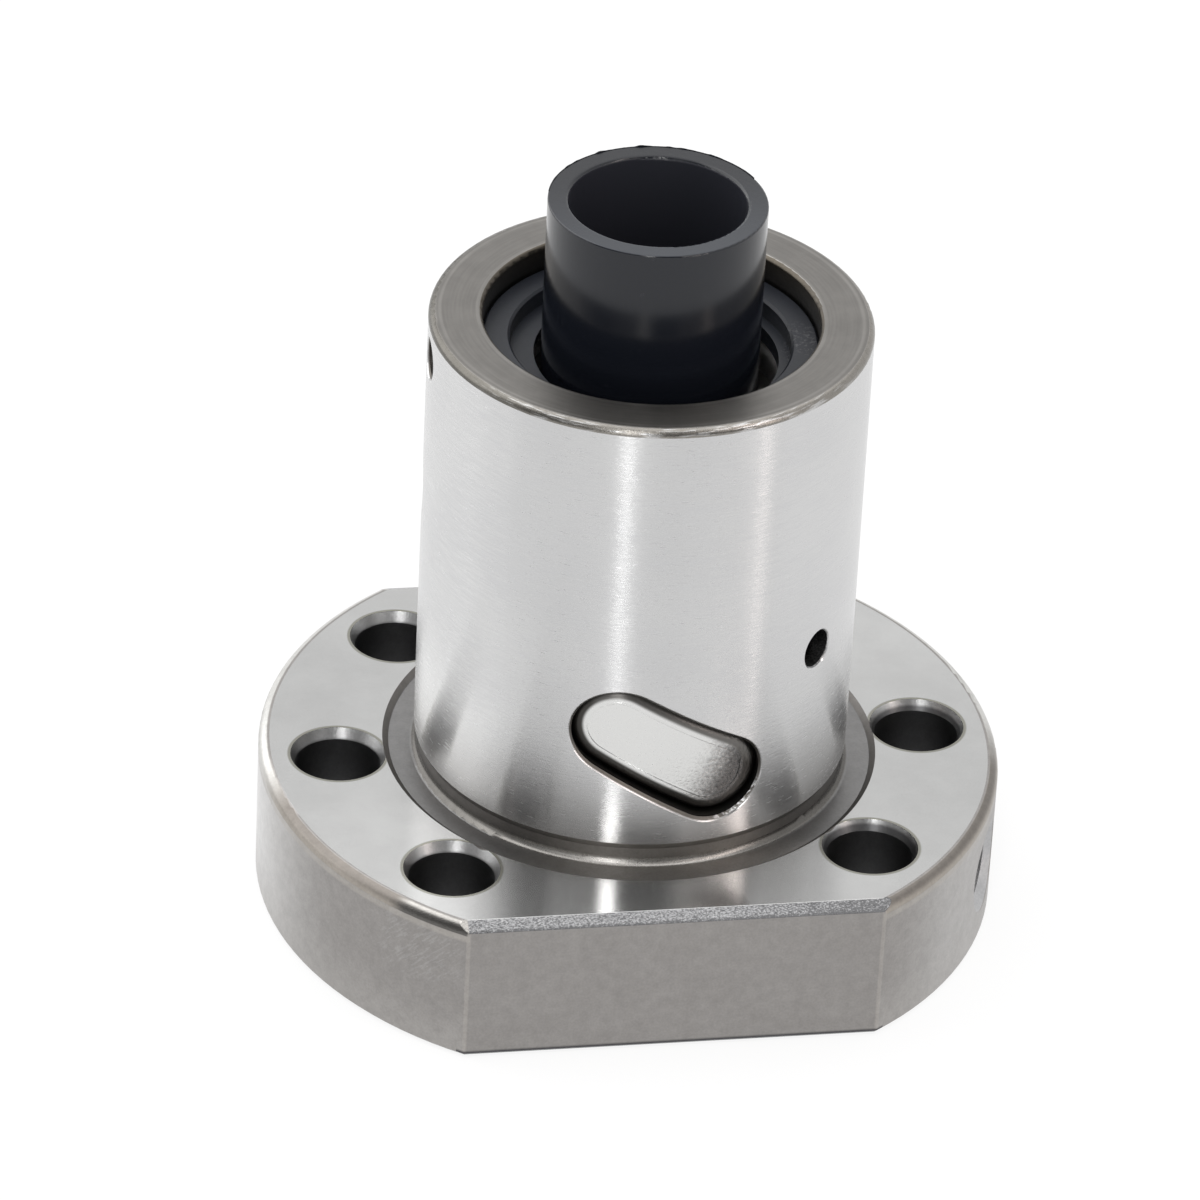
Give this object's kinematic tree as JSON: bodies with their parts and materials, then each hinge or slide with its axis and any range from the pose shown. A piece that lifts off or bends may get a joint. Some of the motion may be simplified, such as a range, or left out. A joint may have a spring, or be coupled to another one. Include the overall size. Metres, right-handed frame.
{
  "type": "ball screw nut",
  "caption": "Flanged cylindrical ball screw nut with slanted ball return inserts, end wipers, an oil port in the rim and a plastic transport sleeve through its bore.",
  "frame": {"origin": "centre of the flange's lower face, on the screw axis", "axes": "+Z along the screw axis from the flange to the plain end; the flange's two flats face -Y and +Y"},
  "size_m": [0.048, 0.04, 0.0502],
  "materials": {
    "nut_steel": "hardened bearing steel, ground on the body and the flange face, as hardened on rim, flats and end face",
    "deflector_steel": "satin sintered steel",
    "ball_steel": "polished bearing balls",
    "screw_steel": "black oxide",
    "wiper_plastic": "satin moulded black",
    "sleeve_plastic": "gloss black tube"
  },
  "bodies": {
    "nut": {"nut_body": "nut_steel", "deflector_1": "deflector_steel", "deflector_2": "deflector_steel", "deflector_3": "deflector_steel", "upper_wiper": "wiper_plastic", "lower_wiper": "wiper_plastic", "upper_wiper_set_screw": "screw_steel", "ball_1_01": "ball_steel", "ball_1_02": "ball_steel", "ball_1_03": "ball_steel", "ball_1_04": "ball_steel", "ball_1_05": "ball_steel", "ball_1_06": "ball_steel", "ball_1_07": "ball_steel", "ball_1_08": "ball_steel", "ball_1_09": "ball_steel", "ball_1_10": "ball_steel", "ball_1_11": "ball_steel", "ball_1_12": "ball_steel", "ball_1_13": "ball_steel", "ball_1_14": "ball_steel", "ball_1_15": "ball_steel", "ball_1_16": "ball_steel", "ball_2_01": "ball_steel", "ball_2_02": "ball_steel", "ball_2_03": "ball_steel", "ball_2_04": "ball_steel", "ball_2_05": "ball_steel", "ball_2_06": "ball_steel", "ball_2_07": "ball_steel", "ball_2_08": "ball_steel", "ball_2_09": "ball_steel", "ball_2_10": "ball_steel", "ball_2_11": "ball_steel", "ball_2_12": "ball_steel", "ball_2_13": "ball_steel", "ball_2_14": "ball_steel", "ball_2_15": "ball_steel", "ball_2_16": "ball_steel", "ball_3_01": "ball_steel", "ball_3_02": "ball_steel", "ball_3_03": "ball_steel", "ball_3_04": "ball_steel", "ball_3_05": "ball_steel", "ball_3_06": "ball_steel", "ball_3_07": "ball_steel", "ball_3_08": "ball_steel", "ball_3_09": "ball_steel", "ball_3_10": "ball_steel", "ball_3_11": "ball_steel", "ball_3_12": "ball_steel", "ball_3_13": "ball_steel", "ball_3_14": "ball_steel", "ball_3_15": "ball_steel", "ball_3_16": "ball_steel"},
    "sleeve": {"transport_sleeve": "sleeve_plastic"}
  },
  "joints": [
    {"name": "sleeve_slide", "type": "slide", "parent": "nut", "child": "sleeve", "axis": [0, 0, 1], "range_m": [0, 0.038]}
  ]
}
